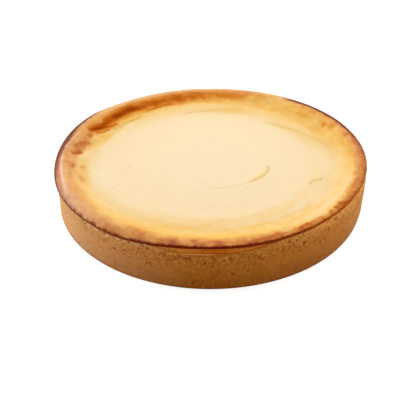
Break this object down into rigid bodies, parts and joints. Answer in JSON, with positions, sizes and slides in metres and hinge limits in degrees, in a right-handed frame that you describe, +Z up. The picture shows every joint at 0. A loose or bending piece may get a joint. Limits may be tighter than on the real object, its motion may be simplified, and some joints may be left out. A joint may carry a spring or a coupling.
{
  "type": "baked cheesecake",
  "caption": "Round baked cheesecake: a shortcrust pastry case filled with baked curd cheese, with a browned, raised rim and a pale sunken middle.",
  "frame": {"origin": "centre of the flat underside, on the surface that the cake stands on", "axes": "+Z up through the middle of the cake, -Y towards the front, where the filling shows over the dipped pastry edge"},
  "size_m": [0.26, 0.26, 0.042],
  "materials": {
    "baked_pastry": "matt baked shortcrust with fine pores",
    "baked_cheese": "satin baked curd cheese, browned at the rim"
  },
  "bodies": {
    "root": {"pastry_case": "baked_pastry", "cheese_filling": "baked_cheese"}
  },
  "joints": []
}
